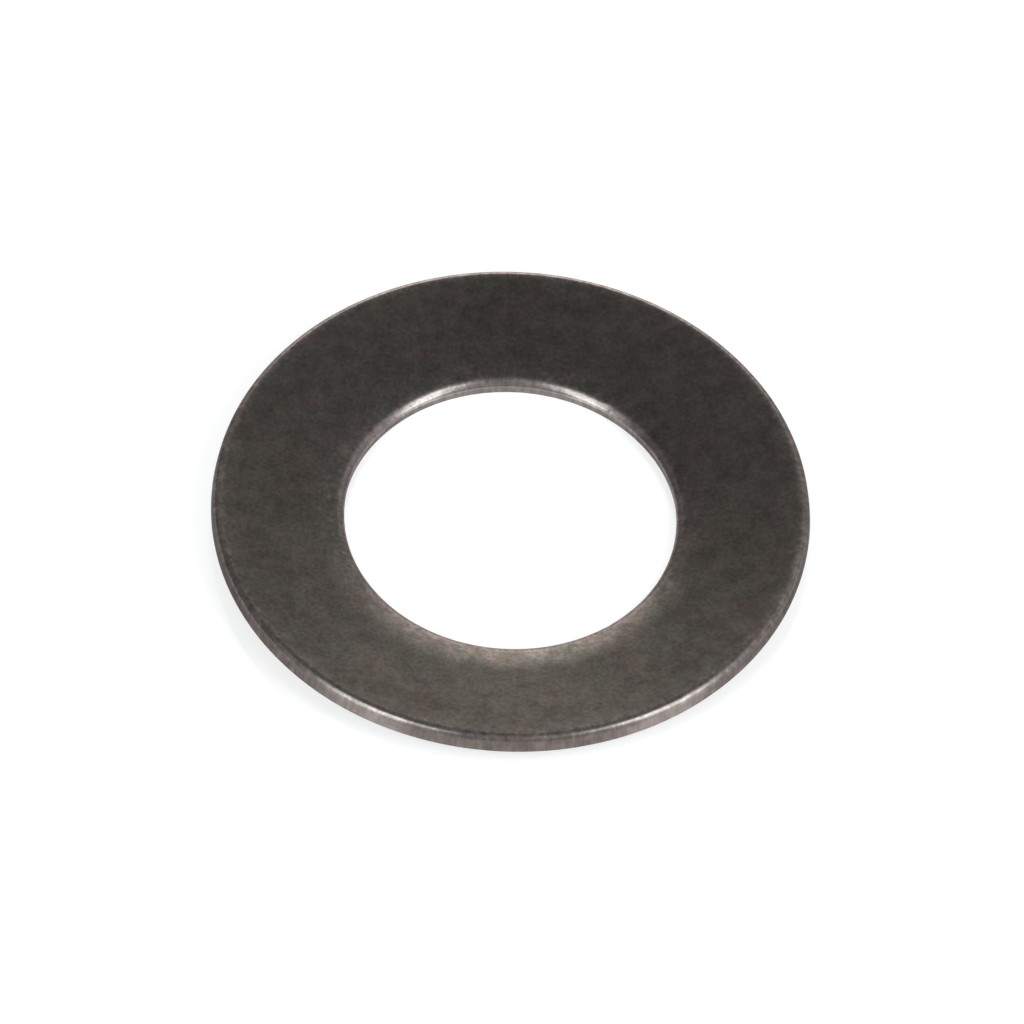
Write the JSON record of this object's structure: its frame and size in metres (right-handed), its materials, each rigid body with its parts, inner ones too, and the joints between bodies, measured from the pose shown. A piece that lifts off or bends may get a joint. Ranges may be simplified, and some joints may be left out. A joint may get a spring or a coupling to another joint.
{
  "type": "conical spring washer",
  "caption": "Flat steel ring dished into a shallow cone, which goes round a bolt or shaft and springs back when it is pressed flat.",
  "frame": {"origin": "on the axis, in the plane that the lower edge of the bore stands on", "axes": "+Z along the axis, towards the hollow side of the dish"},
  "size_m": [0.035, 0.035, 0.0023],
  "materials": {
    "dark_spring_steel": "dark phosphate coat with a film of oil, semi-matt"
  },
  "bodies": {
    "root": {"spring_washer": "dark_spring_steel"}
  },
  "joints": []
}
